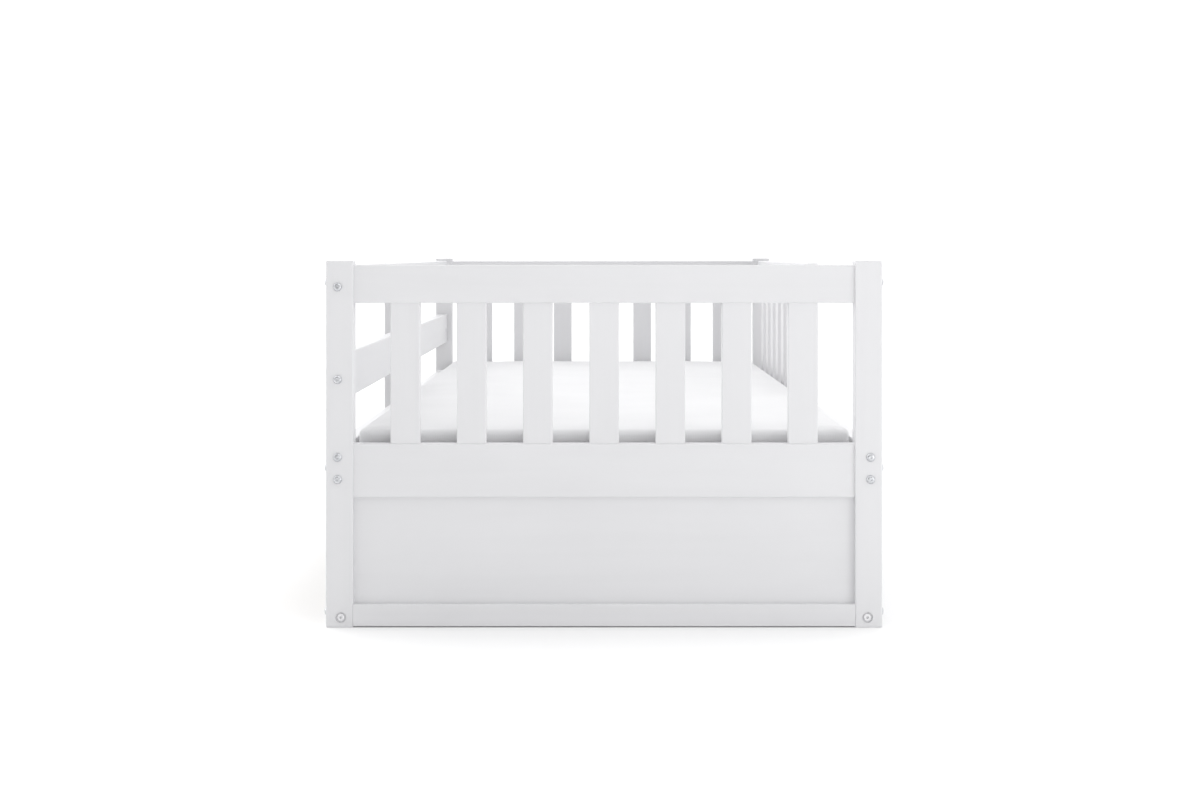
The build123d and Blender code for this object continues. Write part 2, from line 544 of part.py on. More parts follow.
with BuildPart(BED) as drawer_divider:
    divider_h = SIDE_LOWER_Z - BOTTOM_RAIL_TOP
    with Locations((SIDE_RAIL_X, 0, BOTTOM_RAIL_TOP)):
        Box(SIDE_RAIL_T, DIVIDER_W, divider_h, align=FROM_BASE)
    fillet(drawer_divider.edges().filter_by(Axis.Z), SOFT_EDGE_R)
    with Locations((SIDE_RAIL_X, 0, BOTTOM_RAIL_TOP - DIVIDER_TENON)):
        Box(SLAT_TENON_T, SLAT_TENON_W, divider_h + 2 * DIVIDER_TENON, align=FROM_BASE)
drawer_divider.part.label = "drawer_divider"
export_step(drawer_divider.part, "parts/drawer_divider.step")

# ---- Base: ledgers, slats and mattress --------------------------------------------------

TILT_SCREW_INSET = 14.0                         # from the batten's edge at the bay's edge
TILT_SCREW_YS = [y + into * TILT_SCREW_INSET for y, into in bay_edges()]


def make_ledger(side):
    """Batten along the lower side rail, which carries the ends of the base slats."""
    x = side * LEDGER_X
    with BuildPart(BED) as ledger:
        with Locations((x, 0, SIDE_LOWER_Z)):
            Box(LEDGER_W, CLEAR_L - 2 * LEDGER_END_GAP, LEDGER_H, align=FROM_BASE)
        fillet(ledger.edges().filter_by(Axis.Y), SOFT_EDGE_R)
        inner_face_x = side * (INNER_X - LEDGER_W)
        points = [(inner_face_x, y, LEDGER_SCREW_Z) for y in LEDGER_SCREW_YS]
        with Locations([Location(p, out_x(-side)) for p in points]):
            screw_hole(LEDGER_W)
        with Locations([(x, y, LEDGER_TOP) for y in BASE_SLAT_YS]):
            Hole(SCREW_R, SLAT_SCREW_L - BASE_SLAT_T + PILOT_REACH)
        points = [(x, y, SIDE_LOWER_Z) for y in TILT_SCREW_YS]
        with Locations([Location(p, (180, 0, 0)) for p in points]):
            Hole(SCREW_R, TILT_SCREW_L - TILT_BATTEN_H + PILOT_REACH)
    ledger.part.label = f"{SIDE_NAMES[side]}_ledger"
    export_step(ledger.part, f"parts/{ledger.part.label}.step")


for side in (BACK, FRONT):
    make_ledger(side)

with BuildPart(BED) as base_slats:
    with Locations([(0, y, LEDGER_TOP) for y in BASE_SLAT_YS]):
        Box(BASE_SLAT_L, BASE_SLAT_W, BASE_SLAT_T, align=FROM_BASE)
    fillet(base_slats.edges().filter_by(Axis.X), SOFT_EDGE_R)
    with Locations([(side * LEDGER_X, y, BASE_TOP) for side in (BACK, FRONT) for y in BASE_SLAT_YS]):
        screw_hole(BASE_SLAT_T)
base_slats.part.label = "base_slats"
export_step(base_slats.part, "parts/base_slats.step")

with BuildPart(BED) as mattress:
    with Locations((0, 0, BASE_TOP + MATTRESS_REST_GAP)):
        Box(MATTRESS_W, MATTRESS_L, MATTRESS_T, align=FROM_BASE)
    fillet(mattress.edges().filter_by(Axis.Z), MATTRESS_CORNER_R)
    fillet(mattress.faces().filter_by(Axis.Z).edges(), MATTRESS_EDGE_R)
mattress.part.label = "mattress"
export_step(mattress.part, "parts/mattress.step")

# ---- Drawer carriage: runners with guides, anti-tilt battens, stops ---------------------

with BuildPart(BED) as drawer_runners:
    for y, into in bay_edges():
        with Locations((0, y + into * RUNNER_W / 2, RUNNER_Z)):
            Box(RUNNER_L, RUNNER_W, RUNNER_TOP_Z - RUNNER_Z, align=FROM_BASE)
        with Locations((0, y + into * GUIDE_W / 2, RUNNER_TOP_Z)):
            Box(RUNNER_L, GUIDE_W, GUIDE_H, align=FROM_BASE)
        ends = [Location((side * RUNNER_L / 2, y + into * RUNNER_W / 2, RUNNER_DOWEL_Z),
                         out_x(side)) for side in (BACK, FRONT)]
        with Locations(ends):
            Hole(DOWEL_R, DOWEL_HALF)
drawer_runners.part.label = "drawer_runners"
export_step(drawer_runners.part, "parts/drawer_runners.step")

TILT_SCREW_PLACES = [(side * LEDGER_X, y, TILT_BATTEN_Z)
                     for side in (BACK, FRONT) for y in TILT_SCREW_YS]
STOP_INSET = GUIDE_W + 2 * GUIDE_CLEARANCE + DRAWER_BOARD_T + STOP_W / 2
STOP_SCREW_L = STOP_H + 10.0
STOP_PLACES = [(STOP_X, y + into * STOP_INSET) for y, into in bay_edges()]

with BuildPart(BED) as tilt_battens:
    for y, into in bay_edges():
        with Locations((0, y + into * TILT_BATTEN_W / 2, TILT_BATTEN_Z)):
            Box(TILT_BATTEN_L, TILT_BATTEN_W, TILT_BATTEN_H, align=FROM_BASE)
    fillet(tilt_battens.edges().filter_by(Axis.X), SOFT_EDGE_R)
    with Locations([Location(p, (180, 0, 0)) for p in TILT_SCREW_PLACES]):
        screw_hole(TILT_BATTEN_H)
    with Locations([Location((x, y, TILT_BATTEN_Z), (180, 0, 0)) for x, y in STOP_PLACES]):
        Hole(SCREW_R, STOP_SCREW_L - STOP_H + PILOT_REACH)
tilt_battens.part.label = "tilt_battens"
export_step(tilt_battens.part, "parts/tilt_battens.step")

with BuildPart(BED) as drawer_stops:
    with Locations([(x, y, TILT_BATTEN_Z) for x, y in STOP_PLACES]):
        Box(STOP_L, STOP_W, STOP_H, align=FROM_TOP)
    fillet(drawer_stops.edges().filter_by(Axis.Z), SOFT_EDGE_R)
    with Locations([Location((x, y, TILT_BATTEN_Z - STOP_H), (180, 0, 0)) for x, y in STOP_PLACES]):
        screw_hole(STOP_H)
drawer_stops.part.label = "drawer_stops"
export_step(drawer_stops.part, "parts/drawer_stops.step")

# ---- Drawers ----------------------------------------------------------------------------

DRAWER_SIDE_H = DRAWER_TOP_Z - DRAWER_SIDE_LOW
DRAWER_SIDE_X = INNER_X - DRAWER_DEPTH / 2
GROOVE_H = DRAWER_BOTTOM_T + 2 * FIT
GROOVE_Z = DRAWER_BOTTOM_Z - FIT
FIXING_ZS = (80.0, 155.0)
DRAWER_DOWEL_R, DRAWER_DOWEL_L = 3.0, 24.0
DRAWER_SCREW_L = DRAWER_BOARD_T + 25.0


def make_drawer(end):
    """Inset front with a hand slot, a grooved box behind it, and its thin bottom."""
    name = f"{END_NAMES[end]}_drawer"
    y = end * BAY_MIDDLE
    front_h = SIDE_LOWER_Z - BOTTOM_RAIL_TOP - 2 * DRAWER_GAP
    front_w = BAY_W - 2 * DRAWER_GAP
    groove_l = DRAWER_BOX_W - 2 * DRAWER_BOARD_T + 2 * DRAWER_GROOVE
    side_ys = (y - DRAWER_SIDE_Y, y + DRAWER_SIDE_Y)
    front_dowels = [(INNER_X, side_y, z) for side_y in side_ys for z in FIXING_ZS]

    with BuildPart(BED) as front:
        with Locations((SIDE_RAIL_X, y, BOTTOM_RAIL_TOP + DRAWER_GAP)):
            Box(DRAWER_FRONT_T, front_w, front_h, align=FROM_BASE)
        fillet(front.faces().sort_by(Axis.X)[-1].edges(), EDGE_R)
        slot_plane = Plane(origin=(CENTRE_X + INNER_X, y, HAND_SLOT_Z), x_dir=(0, 1, 0),
                           z_dir=(1, 0, 0))
        with BuildSketch(slot_plane):
            SlotOverall(HAND_SLOT_W, HAND_SLOT_H)
        extrude(amount=DRAWER_FRONT_T, mode=Mode.SUBTRACT)
        slot_edges = front.edges().filter_by_position(
            Axis.Y, y - HAND_SLOT_W / 2 - 1, y + HAND_SLOT_W / 2 + 1)
        outer_x = CENTRE_X + SIDE_FACE_X
        fillet(slot_edges.filter_by_position(Axis.X, outer_x - 0.1, outer_x + 0.1), EDGE_R)
        with Locations((INNER_X, y, GROOVE_Z)):
            Box(2 * (DRAWER_GROOVE + FIT), groove_l + 2 * FIT, GROOVE_H,
                align=FROM_BASE, mode=Mode.SUBTRACT)
        with Locations([Location(p, out_x(BACK)) for p in front_dowels]):
            Hole(DRAWER_DOWEL_R, DRAWER_DOWEL_L / 2 + HOLE_END_GAP)
    front.part.label = f"{name}_front"
    export_step(front.part, f"parts/{front.part.label}.step")

    with BuildPart(BED) as sides:
        with Locations([(DRAWER_SIDE_X, side_y, DRAWER_SIDE_LOW) for side_y in side_ys]):
            Box(DRAWER_DEPTH, DRAWER_BOARD_T, DRAWER_SIDE_H, align=FROM_BASE)
        fillet(sides.faces().sort_by(Axis.Z)[-2:].edges().filter_by(Axis.X), SOFT_EDGE_R)
        with Locations((DRAWER_SIDE_X, y, GROOVE_Z)):
            Box(DRAWER_DEPTH, groove_l + 2 * FIT, GROOVE_H, align=FROM_BASE, mode=Mode.SUBTRACT)
        with Locations([Location(p, out_x(FRONT)) for p in front_dowels]):
            Hole(DRAWER_DOWEL_R, DRAWER_DOWEL_L / 2 + HOLE_END_GAP)
        for way in (-1, 1):
            outer_y = y + way * DRAWER_BOX_W / 2
            with Locations([Location((DRAWER_BACK_X, outer_y, z), out_y(way)) for z in FIXING_ZS]):
                screw_hole(DRAWER_BOARD_T)
    sides.part.label = f"{name}_sides"
    export_step(sides.part, f"parts/{sides.part.label}.step")

    back_l = DRAWER_BOX_W - 2 * DRAWER_BOARD_T
    with BuildPart(BED) as back:
        with Locations((DRAWER_BACK_X, y, DRAWER_SIDE_LOW)):
            Box(DRAWER_BOARD_T, back_l, DRAWER_SIDE_H, align=FROM_BASE)
        fillet(back.faces().sort_by(Axis.Z)[-1].edges().filter_by(Axis.Y), SOFT_EDGE_R)
        with Locations((DRAWER_BACK_X + DRAWER_BOARD_T / 2, y, GROOVE_Z)):
            Box(2 * (DRAWER_GROOVE + FIT), back_l, GROOVE_H, align=FROM_BASE, mode=Mode.SUBTRACT)
        for way in (-1, 1):
            end_y = y + way * back_l / 2
            with Locations([Location((DRAWER_BACK_X, end_y, z), out_y(way)) for z in FIXING_ZS]):
                Hole(SCREW_R, DRAWER_SCREW_L - DRAWER_BOARD_T + PILOT_REACH)
    back.part.label = f"{name}_back"
    export_step(back.part, f"parts/{back.part.label}.step")

    bottom_low_x = DRAWER_BACK_X + DRAWER_BOARD_T / 2 - DRAWER_GROOVE
    bottom_high_x = INNER_X + DRAWER_GROOVE
    with BuildPart(BED) as bottom:
        with Locations(((bottom_low_x + bottom_high_x) / 2, y, DRAWER_BOTTOM_Z)):
            Box(bottom_high_x - bottom_low_x, groove_l, DRAWER_BOTTOM_T, align=FROM_BASE)
    bottom.part.label = f"{name}_bottom"
    export_step(bottom.part, f"parts/{bottom.part.label}.step")

    with BuildPart(BED) as fixings:
        with Locations([Location(p, out_x(FRONT)) for p in front_dowels]):
            Cylinder(DRAWER_DOWEL_R - FIT / 2, DRAWER_DOWEL_L)
        for way in (-1, 1):
            outer_y = y + way * DRAWER_BOX_W / 2
            with Locations([Location((DRAWER_BACK_X, outer_y, z), out_y(way)) for z in FIXING_ZS]):
                add(screw_blank(DRAWER_SCREW_L))
    fixings.part.label = f"{name}_fixings"
    export_step(fixings.part, f"parts/{fixings.part.label}.step")


for end in (FOOT, HEAD):
    make_drawer(end)

# ---- Bolts, nuts, dowels and screws -----------------------------------------------------

side_bolt_places = [
    Location((side * SIDE_RAIL_X, end * LENGTH / 2, z), out_y(end))
    for end in (FOOT, HEAD) for side in (BACK, FRONT) for z in side_bolt_heights(side, end)
]
bottom_bolt_places = [
    Location((side * BOTTOM_SIDE_X, end * (LENGTH / 2 - SUNK_DEPTH), BOTTOM_SIDE_BOLT_Z), out_y(end))
    for end in (FOOT, HEAD) for side in (BACK, FRONT)
]
end_bolt_places = [
    Location((side * WIDTH / 2, end * POST_Y, z), out_x(side))
    for end in (FOOT, HEAD) for side in (BACK, FRONT) for z in END_BOLTS_Z
]

with BuildPart(BED) as side_rail_bolts:
    with Locations(side_bolt_places):
        add(bolt_blank(BUTTON_HEAD, POST_D + BOLT_LENGTH_BEYOND))
side_rail_bolts.part.label = "side_rail_bolts"
export_step(side_rail_bolts.part, "parts/side_rail_bolts.step")

with BuildPart(BED) as bottom_rail_bolts:
    with Locations(bottom_bolt_places):
        add(bolt_blank(SUNK_HEAD, POST_D - SUNK_DEPTH + BOLT_LENGTH_BEYOND))
bottom_rail_bolts.part.label = "bottom_rail_bolts"
export_step(bottom_rail_bolts.part, "parts/bottom_rail_bolts.step")

with BuildPart(BED) as end_rail_bolts:
    with Locations(end_bolt_places):
        add(bolt_blank(BUTTON_HEAD, POST_W + BOLT_LENGTH_BEYOND))
end_rail_bolts.part.label = "end_rail_bolts"
export_step(end_rail_bolts.part, "parts/end_rail_bolts.step")

nut_places = []
for end in (FOOT, HEAD):
    for side in (BACK, FRONT):
        nut_y = end * (CLEAR_L / 2 - NUT_INSET)
        for z in side_bolt_heights(side, end):
            nut_places.append(Location((side * SIDE_RAIL_X, nut_y, z), out_x(side)))
        nut_places.append(Location((side * BOTTOM_SIDE_X, nut_y, BOTTOM_SIDE_BOLT_Z), out_x(side)))
        nut_x = side * (CLEAR_W / 2 - NUT_INSET)
        for z in END_BOLTS_Z:
            nut_places.append(Location((nut_x, end * POST_Y, z), out_y(end)))

# A barrel nut lies across its bolt: its thread runs through it, its slot faces inwards.
with BuildPart() as barrel_nut:
    Cylinder(NUT_R, NUT_L)
    with Locations((0, 0, -NUT_L / 2)):
        Box(NUT_SLOT_W, 2 * NUT_R, 2 * NUT_SLOT_DEPTH, mode=Mode.SUBTRACT)
    Cylinder(BOLT_R + FIT / 2, 4 * NUT_R, rotation=(90, 0, 0), mode=Mode.SUBTRACT)

nuts_along_x = [place for place in nut_places if abs(place.orientation.Y) > 1]
nuts_along_y = [place for place in nut_places if abs(place.orientation.X) > 1]

with BuildPart(BED) as barrel_nuts:
    with Locations(nuts_along_x):
        add(barrel_nut.part)
    with Locations(nuts_along_y):
        add(barrel_nut.part, rotation=(0, 0, 90))
barrel_nuts.part.label = "barrel_nuts"
export_step(barrel_nuts.part, "parts/barrel_nuts.step")

dowel_places = [
    Location((side * CLEAR_W / 2, end * POST_Y, z), out_x(side))
    for end in (FOOT, HEAD) for side in (BACK, FRONT) for z in END_DOWELS_Z
]
dowel_places += [
    Location((side * SIDE_RAIL_X, end * CLEAR_L / 2, z), out_y(end))
    for end in (FOOT, HEAD) for side in (BACK, FRONT) for z in side_dowel_heights(side, end)
]
dowel_places += [
    Location((side * RUNNER_L / 2, y + into * RUNNER_W / 2, RUNNER_DOWEL_Z), out_x(side))
    for side in (BACK, FRONT) for y, into in bay_edges()
]

with BuildPart() as dowel:
    Cylinder(DOWEL_R - FIT / 2, DOWEL_L)
    chamfer(dowel.edges(), 0.8)

with BuildPart(BED) as dowels:
    with Locations(dowel_places):
        add(dowel.part)
dowels.part.label = "dowels"
export_step(dowels.part, "parts/dowels.step")

with BuildPart(BED) as wood_screws:
    with Locations([(side * LEDGER_X, y, BASE_TOP) for side in (BACK, FRONT) for y in BASE_SLAT_YS]):
        add(screw_blank(SLAT_SCREW_L))
    with Locations([Location((side * (INNER_X - LEDGER_W), y, LEDGER_SCREW_Z), out_x(-side))
                    for side in (BACK, FRONT) for y in LEDGER_SCREW_YS]):
        add(screw_blank(LEDGER_SCREW_L))
    with Locations([Location((head_x, 0, z), out_x(BACK)) for z in UPRIGHT_SCREWS_Z]):
        add(screw_blank(UPRIGHT_SCREW_L))
    with Locations([Location(p, (180, 0, 0)) for p in TILT_SCREW_PLACES]):
        add(screw_blank(TILT_SCREW_L))
    with Locations([Location((x, y, TILT_BATTEN_Z - STOP_H), (180, 0, 0)) for x, y in STOP_PLACES]):
        add(screw_blank(STOP_SCREW_L))
wood_screws.part.label = "wood_screws"
export_step(wood_screws.part, "parts/wood_screws.step")
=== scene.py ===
"""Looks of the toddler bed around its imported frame: paint, bare wood, hardware and the mattress."""

import json
import math

import bmesh
import bpy
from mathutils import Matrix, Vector


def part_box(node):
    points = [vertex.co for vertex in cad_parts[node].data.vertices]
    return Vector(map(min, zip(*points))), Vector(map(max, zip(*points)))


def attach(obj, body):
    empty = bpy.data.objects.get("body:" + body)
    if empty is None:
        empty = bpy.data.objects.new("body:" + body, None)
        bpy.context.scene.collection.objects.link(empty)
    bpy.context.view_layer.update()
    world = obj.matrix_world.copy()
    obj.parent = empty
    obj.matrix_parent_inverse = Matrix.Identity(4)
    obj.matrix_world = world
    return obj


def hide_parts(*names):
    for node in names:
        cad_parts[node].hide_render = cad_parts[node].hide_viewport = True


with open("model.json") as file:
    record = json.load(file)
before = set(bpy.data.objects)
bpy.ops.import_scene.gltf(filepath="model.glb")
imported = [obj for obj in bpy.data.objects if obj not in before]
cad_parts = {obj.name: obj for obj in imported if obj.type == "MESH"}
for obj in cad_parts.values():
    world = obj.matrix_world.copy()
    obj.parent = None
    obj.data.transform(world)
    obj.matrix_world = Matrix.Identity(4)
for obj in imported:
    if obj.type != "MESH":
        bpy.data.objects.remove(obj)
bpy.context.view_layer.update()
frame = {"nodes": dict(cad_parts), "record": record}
nodes = frame["nodes"]

MM = 0.001

# ---- Camera -------------------------------------------------------------------------------

SENSOR, LENS = 36.0, 46.26          # in millimetres
SHIFT_Y = -0.12083                  # of the frame's width; a level camera, the frame moved down
CAMERA_DISTANCE = 2.438             # from the foot posts' outer faces
CAMERA_HEIGHT = 0.589               # above the floor
CAMERA_OFFSET = -0.0065             # from the middle between the posts

post_low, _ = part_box("foot_back_post")
_, post_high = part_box("foot_front_post")
middle_x = (post_low.x + post_high.x) / 2
foot_y = post_low.y

camera_data = bpy.data.cameras.new("camera")
camera_data.sensor_width = SENSOR
camera_data.lens = LENS
camera_data.shift_y = SHIFT_Y
camera = bpy.data.objects.new("camera", camera_data)
bpy.context.scene.collection.objects.link(camera)
camera.location = (middle_x + CAMERA_OFFSET, foot_y - CAMERA_DISTANCE, CAMERA_HEIGHT)
camera.rotation_euler = (math.radians(90), 0, 0)
bpy.context.scene.camera = camera

# ---- Node helpers -------------------------------------------------------------------------


class Graph:
    """Builds one material's nodes; each method returns the output socket that it makes."""

    def __init__(self, name):
        self.material = bpy.data.materials.new(name)
        self.material.use_nodes = True
        self.nodes = self.material.node_tree.nodes
        self.links = self.material.node_tree.links
        self.shader = self.nodes["Principled BSDF"]
        self.object_coords = self.nodes.new("ShaderNodeTexCoord").outputs["Object"]

    def put(self, value, socket):
        """Links another node's output, or sets a plain value."""
        if isinstance(value, bpy.types.NodeSocket):
            self.links.new(value, socket)
        else:
            socket.default_value = value

    def scaled(self, scale=(1, 1, 1), turn=(0, 0, 0)):
        """Object coordinates, stretched along each axis and turned."""
        node = self.nodes.new("ShaderNodeMapping")
        self.links.new(self.object_coords, node.inputs["Vector"])
        node.inputs["Scale"].default_value = scale
        node.inputs["Rotation"].default_value = turn
        return node.outputs["Vector"]

    def noise(self, vector, scale, detail=3.0, rough=0.5, distortion=0.0):
        node = self.nodes.new("ShaderNodeTexNoise")
        self.links.new(vector, node.inputs["Vector"])
        node.inputs["Scale"].default_value = scale
        node.inputs["Detail"].default_value = detail
        node.inputs["Roughness"].default_value = rough
        node.inputs["Distortion"].default_value = distortion
        return node.outputs["Fac"]

    def cells(self, vector, scale):
        """Distance to the nearest of scattered points."""
        node = self.nodes.new("ShaderNodeTexVoronoi")
        self.links.new(vector, node.inputs["Vector"])
        node.inputs["Scale"].default_value = scale
        return node.outputs["Distance"]

    def wave(self, vector, scale, distortion=0.0, detail=2.0, detail_scale=1.0, direction="X"):
        node = self.nodes.new("ShaderNodeTexWave")
        node.bands_direction = direction
        self.links.new(vector, node.inputs["Vector"])
        node.inputs["Scale"].default_value = scale
        node.inputs["Distortion"].default_value = distortion
        node.inputs["Detail"].default_value = detail
        node.inputs["Detail Scale"].default_value = detail_scale
        return node.outputs["Fac"]

    def ramp(self, factor, stops):
        """Colours or greys at positions: stops are (position, value)."""
        node = self.nodes.new("ShaderNodeValToRGB")
        self.links.new(factor, node.inputs["Fac"])
        elements = node.color_ramp.elements
        while len(elements) < len(stops):
            elements.new(0.5)
        for element, (position, value) in zip(elements, stops):
            element.position = position
            rgb = value if isinstance(value, tuple) else (value, value, value)
            element.color = (*rgb, 1.0)
        return node.outputs["Color"]

    def math(self, operation, a, b):
        node = self.nodes.new("ShaderNodeMath")
        node.operation = operation
        self.put(a, node.inputs[0])
        self.put(b, node.inputs[1])
        return node.outputs["Value"]

    def mix(self, factor, a, b, blend="MIX"):
        """Mixes two colours, each an output or an RGB tuple."""
        node = self.nodes.new("ShaderNodeMix")
        node.data_type = "RGBA"
        node.blend_type = blend
        self.put(factor, node.inputs["Factor"])
        self.put(a if isinstance(a, bpy.types.NodeSocket) else (*a, 1.0), node.inputs["A"])
        self.put(b if isinstance(b, bpy.types.NodeSocket) else (*b, 1.0), node.inputs["B"])
        return node.outputs["Result"]

    def bump(self, height, distance, strength=1.0, under=None):
        """Relief of a height in metres, on top of another bump where one is given."""
        node = self.nodes.new("ShaderNodeBump")
        node.inputs["Strength"].default_value = strength
        node.inputs["Distance"].default_value = distance
        self.links.new(height, node.inputs["Height"])
        if under is not None:
            self.links.new(under, node.inputs["Normal"])
        return node.outputs["Normal"]

    def finish(self, color, roughness, normal=None, **values):
        """Feeds the shader; further values are its sockets' names with underscores."""
        self.put(color, self.shader.inputs["Base Color"])
        self.put(roughness, self.shader.inputs["Roughness"])
        if normal is not None:
            self.links.new(normal, self.shader.inputs["Normal"])
        for name, value in values.items():
            self.shader.inputs[name.replace("_", " ")].default_value = value
        return self.material


# Ratios of a pattern's scale along the grain to its scale across it.
GRAIN_RATIO = 0.05
KNOT_RATIO = 0.35
FLECK_RATIO = 0.22

PAINT = (0.692, 0.692, 0.706)
PAINT_SHADE = (0.680, 0.680, 0.694)
PAINT_LIGHT = (0.700, 0.700, 0.714)


def stretched(grain, ratio):
    """Scale that draws a pattern out along the grain."""
    return tuple(ratio if axis == grain else 1.0 for axis in "XYZ")


def painted_pine(grain):
    """Satin white paint: the grain shows faintly through it, over roller texture."""
    g = Graph(f"white_paint_{grain.lower()}")
    along = g.scaled(stretched(grain, GRAIN_RATIO))
    plain = g.scaled()
    cloud = g.noise(plain, scale=5.0, detail=4.0, rough=0.55)
    grain_lines = g.noise(along, scale=210.0, detail=4.0, rough=0.6, distortion=0.3)
    bands = g.noise(along, scale=38.0, distortion=0.6)
    tone = g.ramp(cloud, [(0.30, PAINT_SHADE), (0.62, PAINT), (0.85, PAINT_LIGHT)])
    streaks = g.ramp(bands, [(0.35, 0.985), (0.60, 1.0)])
    color = g.mix(1.0, tone, streaks, "MULTIPLY")
    rough = g.ramp(cloud, [(0.2, 0.36), (0.8, 0.48)])
    peel = g.noise(plain, scale=850.0, detail=2.0)
    normal = g.bump(grain_lines, distance=0.22 * MM, strength=0.55)
    normal = g.bump(bands, distance=0.6 * MM, strength=0.35, under=normal)
    normal = g.bump(peel, distance=0.08 * MM, strength=0.5, under=normal)
    return g.finish(color, rough, normal, Specular_IOR_Level=0.45, Coat_Weight=0.05,
                    Coat_Roughness=0.25)


def bare_pine(grain):
    """Planed pine: growth rings along the board, fine fibres and a few small knots."""
    g = Graph(f"bare_pine_{grain.lower()}")
    along = g.scaled(stretched(grain, GRAIN_RATIO))
    rings = g.wave(along, scale=22.0, distortion=9.0, detail=3.0, detail_scale=1.6,
                   direction="Y" if grain == "X" else "X")
    fibres = g.noise(along, scale=420.0, detail=4.0, rough=0.65)
    cloud = g.noise(g.scaled(), scale=3.2)
    ringed = g.ramp(rings, [(0.0, (0.83, 0.68, 0.46)), (0.62, (0.76, 0.57, 0.34)),
                            (0.9, (0.62, 0.40, 0.19)), (1.0, (0.80, 0.63, 0.40))])
    clouded = g.ramp(cloud, [(0.3, (0.74, 0.56, 0.34)), (0.7, (0.86, 0.72, 0.50))])
    toned = g.mix(0.35, ringed, clouded)
    fibred = g.mix(0.5, toned, g.ramp(fibres, [(0.35, 0.80), (0.6, 1.0)]), "MULTIPLY")
    knot = g.cells(g.scaled(stretched(grain, KNOT_RATIO)), scale=4.2)
    color = g.mix(g.ramp(knot, [(0.030, 1.0), (0.055, 0.0)]), fibred, (0.33, 0.16, 0.07))
    normal = g.bump(fibres, distance=0.3 * MM, strength=0.5)
    normal = g.bump(rings, distance=0.3 * MM, strength=0.3, under=normal)
    return g.finish(color, g.ramp(fibres, [(0.3, 0.62), (0.7, 0.50)]), normal,
                    Specular_IOR_Level=0.35)


def bare_beech():
    """Planed beech: even pinkish brown with short dark flecks along X, as the runners lie."""
    g = Graph("bare_beech")
    along = g.scaled(stretched("X", GRAIN_RATIO))
    flecks = g.cells(g.scaled(stretched("X", FLECK_RATIO)), scale=330.0)
    fibres = g.noise(along, scale=300.0, detail=4.0, rough=0.6)
    cloud = g.noise(along, scale=20.0, detail=2.0)
    base = g.ramp(cloud, [(0.3, (0.60, 0.40, 0.25)), (0.7, (0.72, 0.52, 0.35))])
    fibred = g.mix(0.4, base, g.ramp(fibres, [(0.3, 0.82), (0.65, 1.0)]), "MULTIPLY")
    color = g.mix(g.ramp(flecks, [(0.10, 0.55), (0.22, 0.0)]), fibred, (0.36, 0.20, 0.11))
    normal = g.bump(fibres, distance=0.2 * MM, strength=0.5)
    return g.finish(color, g.ramp(fibres, [(0.3, 0.5), (0.7, 0.4)]), normal, Specular_IOR_Level=0.4)


def white_hardboard():
    """Smooth white facing on thin fibreboard, with a faint speckle."""
    g = Graph("white_hardboard")
    plain = g.scaled()
    speckle = g.noise(plain, scale=900.0, detail=2.0)
    cloud = g.noise(plain, scale=4.0)
    tone = g.ramp(cloud, [(0.3, (0.775, 0.770, 0.765)), (0.7, (0.810, 0.806, 0.800))])
    color = g.mix(0.3, tone, g.ramp(speckle, [(0.3, 0.95), (0.6, 1.0)]), "MULTIPLY")
    rough = g.ramp(speckle, [(0.3, 0.42), (0.7, 0.34)])
    return g.finish(color, rough, g.bump(speckle, distance=0.12 * MM, strength=0.5))


def zinc_steel():
    """Zinc-plated steel with a faint grain and small dull patches."""
    g = Graph("zinc_steel")
    plain = g.scaled()
    patches = g.noise(plain, scale=240.0)
    grains = g.noise(plain, scale=2600.0, detail=2.0)
    color = g.ramp(patches, [(0.3, (0.50, 0.51, 0.53)), (0.7, (0.66, 0.67, 0.69))])
    rough = g.ramp(patches, [(0.3, 0.34), (0.7, 0.24)])
    return g.finish(color, rough, g.bump(grains, distance=0.03 * MM, strength=0.4), Metallic=1.0)


def white_lacquered_steel():
    """Bolt heads in white lacquer, a little glossier than the wood's paint."""
    g = Graph("white_lacquered_steel")
    plain = g.scaled()
    cloud = g.noise(plain, scale=160.0)
    color = g.ramp(cloud, [(0.3, (0.74, 0.74, 0.75)), (0.7, (0.80, 0.80, 0.815))])
    rough = g.ramp(cloud, [(0.3, 0.34), (0.7, 0.26)])
    grains = g.noise(plain, scale=1500.0)
    return g.finish(color, rough, g.bump(grains, distance=0.04 * MM, strength=0.4))


def mattress_knit():
    """White knitted cover: stitches 2 mm apart both ways, with a soft sheen."""
    g = Graph("mattress_knit")
    plain = g.scaled()
    columns = g.wave(g.scaled(turn=(0, 0, math.radians(45))), scale=160.0, distortion=0.6, detail=1.0)
    courses = g.wave(g.scaled(turn=(0, 0, math.radians(-45))), scale=160.0, distortion=0.6, detail=1.0)
    knit = g.math("MULTIPLY", columns, courses)
    fuzz = g.noise(plain, scale=1400.0, detail=2.0, rough=0.7)
    cloud = g.noise(plain, scale=6.0)
    tone = g.ramp(cloud, [(0.3, (0.680, 0.680, 0.690)), (0.7, (0.706, 0.706, 0.716))])
    color = g.mix(0.25, tone, g.ramp(knit, [(0.0, 0.93), (0.5, 1.0)]), "MULTIPLY")
    normal = g.bump(knit, distance=0.5 * MM, strength=0.35)
    normal = g.bump(fuzz, distance=0.3 * MM, strength=0.3, under=normal)
    return g.finish(color, g.ramp(fuzz, [(0.3, 0.95), (0.7, 0.85)]), normal,
                    Sheen_Weight=0.12, Sheen_Roughness=0.4, Specular_IOR_Level=0.2)


